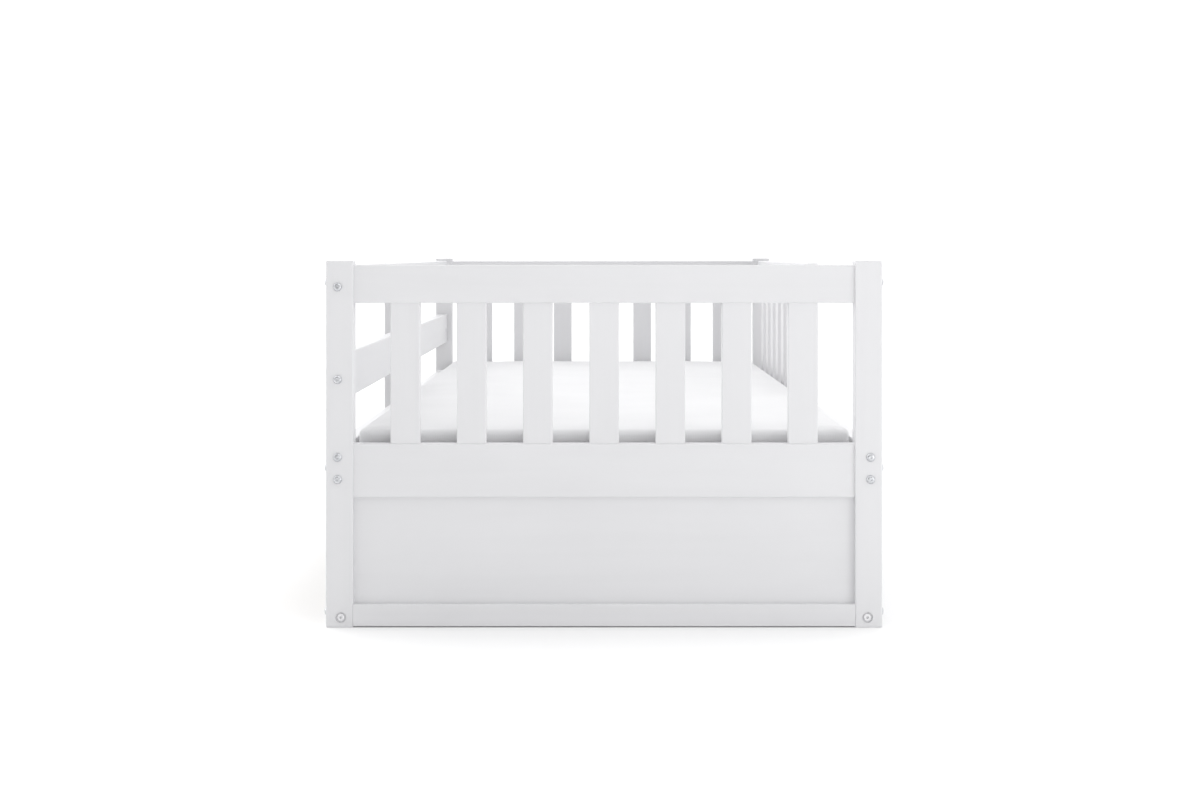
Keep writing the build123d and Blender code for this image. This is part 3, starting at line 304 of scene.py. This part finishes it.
def seam_thread():
    """Bound seam round the cover: tight rib across a narrow tape."""
    g = Graph("seam_thread")
    rib = g.wave(g.scaled(turn=(0, 0, math.radians(45))), scale=420.0, distortion=0.4, detail=1.0)
    fuzz = g.noise(g.scaled(), scale=1600.0, detail=2.0)
    color = g.ramp(rib, [(0.0, (0.76, 0.76, 0.78)), (1.0, (0.86, 0.86, 0.875))])
    normal = g.bump(rib, distance=0.4 * MM, strength=0.5)
    return g.finish(color, g.ramp(fuzz, [(0.3, 0.9), (0.7, 0.8)]), normal,
                    Sheen_Weight=0.1, Specular_IOR_Level=0.2)


# ---- Materials onto the CAD nodes ---------------------------------------------------------

slot_of = {row["node"]: row["material_slot"] for row in frame["record"]["subparts"]}
by_grain = {
    "white_painted_pine": {axis: painted_pine(axis) for axis in "XYZ"},
    "bare_pine": {axis: bare_pine(axis) for axis in "XY"},
}
single = {
    "bare_beech": bare_beech(),
    "white_hardboard": white_hardboard(),
    "zinc_steel": zinc_steel(),
    "white_bolt_heads": white_lacquered_steel(),
}


def long_axis(name):
    """Axis along which a node's grain runs: its longest side, or one plank's in a row of planks."""
    if name == "guard_slats":
        return "Z"
    if name in ("base_slats", "tilt_battens") or name.endswith("drawer_sides"):
        return "X"
    low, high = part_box(name)
    size = high - low
    return "XYZ"[max(range(3), key=lambda i: size[i])]


for name, obj in nodes.items():
    slot = slot_of[name]
    if slot in by_grain:
        material = by_grain[slot][long_axis(name)]
    elif slot in single:
        material = single[slot]
    else:
        continue                    # the mattress, which a detailed piece replaces
    obj.data.materials.clear()
    obj.data.materials.append(material)

# ---- Mattress -----------------------------------------------------------------------------

mattress_low, mattress_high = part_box("mattress")
SWELL = 3.0 * MM                    # how far the cover may swell past the blank
SIDE_GAP = 1.0 * MM                 # between the blank's sides and the CAD solid's
CORNER_R = 28 * MM                  # of the outline, seen from above
EDGE_R = 10 * MM                    # of the top and bottom edges
GRID_STEP = 24 * MM                 # of the cloth's mesh on the flat top
CORNER_CELLS, EDGE_CELLS, SIDE_CELLS = 5, 4, 6      # of that mesh, across each zone
SIM_FRAMES = 20
SEAM_R, SEAM_CORNER_STEPS = 1.4 * MM, 12
SEAM_Z = (mattress_low.z + mattress_high.z) / 2
PRESSURE = 4.0                      # of the air in the cloth
BOTTOM_HELD, SEAM_HELD = 2 * MM, 6 * MM     # heights of the held zones
HOLLOW_DEPTH = 1.5 * MM             # of the foam under the cover
HOLLOW_CALM = 120 * MM              # from the edge, over which the hollows fade in
TOP_ZONE = 12 * MM                  # below the top, with the vertices that the hollows move


def graded(low, high):
    """Positions across one direction: fine cells in the corner zones, even ones between."""
    inner_low, inner_high = low + CORNER_R, high - CORNER_R
    count = max(2, round((inner_high - inner_low) / GRID_STEP))
    fine = [i / CORNER_CELLS for i in range(CORNER_CELLS)]
    start = [low + CORNER_R * t for t in fine]
    middle = [inner_low + (inner_high - inner_low) * i / count for i in range(count + 1)]
    end = [inner_high + CORNER_R * (t + 1 / CORNER_CELLS) for t in fine]
    return start + middle + end


def rounded_corner(x, y, low, high):
    """Moves a point in a corner zone so that the square corner becomes a quarter circle."""
    from_x = low.x + CORNER_R - x if x < low.x + CORNER_R else x - (high.x - CORNER_R)
    from_y = low.y + CORNER_R - y if y < low.y + CORNER_R else y - (high.y - CORNER_R)
    if from_x <= 0 or from_y <= 0:
        return x, y
    reach = max(from_x, from_y)
    turn = math.pi / 4 * min(from_x, from_y) / reach
    if from_y > from_x:
        turn = math.pi / 2 - turn
    sign_x = -1 if x < (low.x + high.x) / 2 else 1
    sign_y = -1 if y < (low.y + high.y) / 2 else 1
    shift_x = reach * math.cos(turn) - from_x
    shift_y = reach * math.sin(turn) - from_y
    return x + sign_x * shift_x, y + sign_y * shift_y


def shrunk(x, y, inset, low, high):
    """A point of the full outline pulled in by an inset, towards its own corner's centre."""
    centre_x = min(max(x, low.x + CORNER_R), high.x - CORNER_R)
    centre_y = min(max(y, low.y + CORNER_R), high.y - CORNER_R)
    out = Vector((x - centre_x, y - centre_y))
    if out.length < 1e-9:
        return x, y
    out *= (out.length - inset) / out.length
    return centre_x + out.x, centre_y + out.y


def slab(name, low, high):
    """Closed slab of quads with round corners and edges, its top and bottom as even grids."""
    mesh = bmesh.new()
    xs, ys = graded(low.x, high.x), graded(low.y, high.y)
    around = [(i, 0) for i in range(len(xs) - 1)] + [(len(xs) - 1, j) for j in range(len(ys) - 1)]
    around += [(i, len(ys) - 1) for i in range(len(xs) - 1, 0, -1)]
    around += [(0, j) for j in range(len(ys) - 1, 0, -1)]
    full = {(i, j): rounded_corner(x, y, low, high)
            for i, x in enumerate(xs) for j, y in enumerate(ys)}

    def shrunk_inside(x, y):
        """Inner points of a corner zone follow the rim inwards by their share of its depth."""
        depth = max(low.x + CORNER_R - x, x - high.x + CORNER_R, low.y + CORNER_R - y,
                    y - high.y + CORNER_R, 0)
        return shrunk(x, y, EDGE_R * min(depth / CORNER_R, 1.0), low, high)

    def flat(z, upward):
        """The grid of the top or the bottom, ending where the edge's rounding starts."""
        verts = {}
        for key, (x, y) in full.items():
            on_rim = key[0] in (0, len(xs) - 1) or key[1] in (0, len(ys) - 1)
            place = shrunk(x, y, EDGE_R, low, high) if on_rim else shrunk_inside(x, y)
            verts[key] = mesh.verts.new((*place, z))
        for i in range(len(xs) - 1):
            for j in range(len(ys) - 1):
                corners = [verts[i, j], verts[i + 1, j], verts[i + 1, j + 1], verts[i, j + 1]]
                mesh.faces.new(corners if upward else corners[::-1])
        return [verts[key] for key in around]

    def ring(inset, z):
        """The outline at one height, pulled in by an inset."""
        return [mesh.verts.new((*shrunk(*full[key], inset, low, high), z)) for key in around]

    rings = [flat(low.z, False)]
    for i in range(1, EDGE_CELLS + 1):
        turn = math.pi / 2 * i / EDGE_CELLS
        rings.append(ring(EDGE_R * (1 - math.sin(turn)), low.z + EDGE_R * (1 - math.cos(turn))))
    for i in range(1, SIDE_CELLS):
        rings.append(ring(0, low.z + EDGE_R + (high.z - low.z - 2 * EDGE_R) * i / SIDE_CELLS))
    for i in range(EDGE_CELLS):
        turn = math.pi / 2 * i / EDGE_CELLS
        rings.append(ring(EDGE_R * (1 - math.cos(turn)), high.z - EDGE_R * (1 - math.sin(turn))))
    rings.append(flat(high.z, True))
    for lower, upper in zip(rings, rings[1:]):
        for i in range(len(around)):
            j = (i + 1) % len(around)
            mesh.faces.new((lower[i], lower[j], upper[j], upper[i]))
    data = bpy.data.meshes.new(name)
    mesh.to_mesh(data)
    mesh.free()
    piece = bpy.data.objects.new(name, data)
    bpy.context.scene.collection.objects.link(piece)
    return piece


def add_modifier(piece, kind, **values):
    modifier = piece.modifiers.new(kind.lower(), kind)
    for name, value in values.items():
        setattr(modifier, name, value)
    return modifier


def apply_modifiers(piece):
    """Bakes a piece's modifiers into its mesh."""
    evaluated = piece.evaluated_get(bpy.context.evaluated_depsgraph_get())
    mesh = bpy.data.meshes.new_from_object(evaluated)
    piece.modifiers.clear()
    piece.data = mesh


def swell(piece):
    """Cloth simulation with inner pressure; the bottom and the side seam are held."""
    rest = [v.co.copy() for v in piece.data.vertices]
    held = piece.vertex_groups.new(name="held")
    for v in piece.data.vertices:
        if v.co.z < mattress_low.z + BOTTOM_HELD:
            held.add([v.index], 1.0, "REPLACE")
        elif abs(v.co.z - SEAM_Z) < SEAM_HELD:
            held.add([v.index], 0.9, "REPLACE")
    modifier = add_modifier(piece, "CLOTH")
    cloth = modifier.settings
    cloth.use_pressure = True
    cloth.uniform_pressure_force = PRESSURE
    cloth.mass = 0.35
    cloth.tension_stiffness = 30
    cloth.compression_stiffness = 30
    cloth.shear_stiffness = 12
    cloth.bending_stiffness = 3.0
    cloth.quality = 5
    cloth.vertex_group_mass = "held"
    cloth.effector_weights.gravity = 0.0
    modifier.point_cache.frame_start = 1
    modifier.point_cache.frame_end = SIM_FRAMES
    for number in range(1, SIM_FRAMES + 1):
        bpy.context.scene.frame_set(number)
    apply_modifiers(piece)
    bpy.context.scene.frame_set(1)
    for v, start in zip(piece.data.vertices, rest):
        move = v.co - start
        cap = SWELL if v.co.z > SEAM_Z else SIDE_GAP
        if move.length > cap:
            v.co = start + move * (cap / move.length)
        v.co.z = max(v.co.z, mattress_low.z)
        v.co.x = min(max(v.co.x, mattress_low.x), mattress_high.x)
        v.co.y = min(max(v.co.y, mattress_low.y), mattress_high.y)


def foam_relief(piece):
    """Slight hollows of used foam on the top, calm towards its edges."""
    low, high = mattress_low, mattress_high
    for v in piece.data.vertices:
        x, y, z = v.co
        if z < high.z - TOP_ZONE:
            continue
        edge = min(x - low.x, high.x - x, y - low.y, high.y - y)
        calm = min(max((edge - EDGE_R) / HOLLOW_CALM, 0.0), 1.0)
        # Two slow waves about a metre long, between 0 and 1 together.
        hollow = 0.5 + 0.25 * math.sin(7.3 * x + 1.1) + 0.25 * math.sin(5.1 * y + 2.3 * x)
        v.co.z -= HOLLOW_DEPTH * calm * hollow


def make_mattress():
    """Padded cover in the place of the CAD mattress."""
    margin = Vector((SIDE_GAP, SIDE_GAP, 0))
    top = Vector((0, 0, SWELL))
    piece = slab("mattress_cover", mattress_low + margin, mattress_high - margin - top)
    swell(piece)
    foam_relief(piece)
    add_modifier(piece, "SUBSURF", levels=2, render_levels=2)
    apply_modifiers(piece)
    piece.data.materials.append(mattress_knit())
    for polygon in piece.data.polygons:
        polygon.use_smooth = True
    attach(piece, "bed_frame")
    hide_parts("mattress")


def make_seam_tape():
    """Bound seam round the middle of the cover's side."""
    inset = SIDE_GAP + CORNER_R
    points = []
    for quarter, (at_x, at_y) in enumerate(((mattress_high.x - inset, mattress_high.y - inset),
                                            (mattress_low.x + inset, mattress_high.y - inset),
                                            (mattress_low.x + inset, mattress_low.y + inset),
                                            (mattress_high.x - inset, mattress_low.y + inset))):
        for step in range(SEAM_CORNER_STEPS + 1):
            turn = math.pi / 2 * (quarter + step / SEAM_CORNER_STEPS)
            place = (at_x + CORNER_R * math.cos(turn), at_y + CORNER_R * math.sin(turn), SEAM_Z)
            points.append(place)
    curve = bpy.data.curves.new("mattress_seam", "CURVE")
    curve.dimensions = "3D"
    spline = curve.splines.new("POLY")
    spline.points.add(len(points) - 1)
    for point, place in zip(spline.points, points):
        point.co = (*place, 1)
    spline.use_cyclic_u = True
    curve.bevel_depth = SEAM_R
    curve.bevel_resolution = 3
    piece = bpy.data.objects.new("mattress_seam", curve)
    bpy.context.scene.collection.objects.link(piece)
    curve.materials.append(seam_thread())
    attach(piece, "bed_frame")


make_mattress()
make_seam_tape()

# ---- Floor and light ----------------------------------------------------------------------

FLOOR_HALF = 40.0
floor_mesh = bpy.data.meshes.new("floor")
floor_mesh.from_pydata(
    [(-FLOOR_HALF, -FLOOR_HALF, 0), (FLOOR_HALF, -FLOOR_HALF, 0),
     (FLOOR_HALF, FLOOR_HALF, 0), (-FLOOR_HALF, FLOOR_HALF, 0)], [], [(0, 1, 2, 3)])
floor = bpy.data.objects.new("floor", floor_mesh)
bpy.context.scene.collection.objects.link(floor)
studio = Graph("studio_floor")
floor_cloud = studio.noise(studio.scaled(), scale=2.0, detail=2.0)
floor_tone = studio.ramp(floor_cloud, [(0.0, 0.91), (1.0, 0.93)])
floor_mesh.materials.append(studio.finish(floor_tone, 0.9, Specular_IOR_Level=0.1))

SKY_BASE = 0.58
# Soft lobes of the sky: its direction, where it starts as a cosine, and how bright it is.
SKY_LOBES = (
    ((0.0, 1.0, 0.0), 0.0, 0.52),
    ((0.0, 0.0, 1.0), 0.1, 0.52),
    ((0.95, -0.10, 0.25), 0.2, 0.60),
    ((-0.85, 0.35, 0.35), 0.2, 0.95),
    ((0.0, -1.0, 0.20), -0.2, -0.38),
)
# Name, place, the point that it is aimed at, side of its square and watts.
SOFT_LIGHTS = (
    ("right_front", (1.7, -2.0, 0.30), (0.3, -0.8, 0.15), 1.0, 7.0),
    ("frontal", (0.8, -6.5, 0.8), (0.0, 0.0, 0.2), 2.5, 27.0),
    ("floor_front", (0.1, -1.7, 1.4), (0.1, -1.4, 0.0), 0.8, 2.2),
    ("head_fill", (-0.3, 0.1, 1.4), (0.2, 0.85, 0.4), 0.4, 2.5),
)


def studio_sky():
    """White backdrop behind the bed, bright from above and from both sides, dimmer in front."""
    world = bpy.data.worlds.new("studio")
    world.use_nodes = True
    nodes, links = world.node_tree.nodes, world.node_tree.links
    direction = nodes.new("ShaderNodeTexCoord").outputs["Generated"]
    level = None
    for axis, start, strength in SKY_LOBES:
        dot = nodes.new("ShaderNodeVectorMath")
        dot.operation = "DOT_PRODUCT"
        links.new(direction, dot.inputs[0])
        dot.inputs[1].default_value = Vector(axis).normalized()
        soft = nodes.new("ShaderNodeMapRange")
        soft.interpolation_type = "SMOOTHSTEP"
        links.new(dot.outputs["Value"], soft.inputs["Value"])
        soft.inputs["From Min"].default_value = start
        soft.inputs["From Max"].default_value = 1.0
        soft.inputs["To Min"].default_value = 0.0
        soft.inputs["To Max"].default_value = strength
        total = nodes.new("ShaderNodeMath")
        links.new(soft.outputs["Result"], total.inputs[0])
        if level is None:
            total.inputs[1].default_value = SKY_BASE
        else:
            links.new(level, total.inputs[1])
        level = total.outputs["Value"]
    links.new(level, nodes["Background"].inputs["Strength"])
    nodes["Background"].inputs["Color"].default_value = (1, 1, 1, 1)
    bpy.context.scene.world = world


def soft_light(name, place, target, size, watts):
    """Square area light aimed at a point."""
    data = bpy.data.lights.new(name, "AREA")
    data.shape = "SQUARE"
    data.size = size
    data.energy = watts
    light = bpy.data.objects.new(name, data)
    bpy.context.scene.collection.objects.link(light)
    light.location = place
    light.rotation_euler = (Vector(target) - Vector(place)).to_track_quat("-Z", "Y").to_euler()


studio_sky()
for row in SOFT_LIGHTS:
    soft_light(*row)

view = bpy.context.scene.view_settings
view.view_transform = "Standard"
view.look = "None"
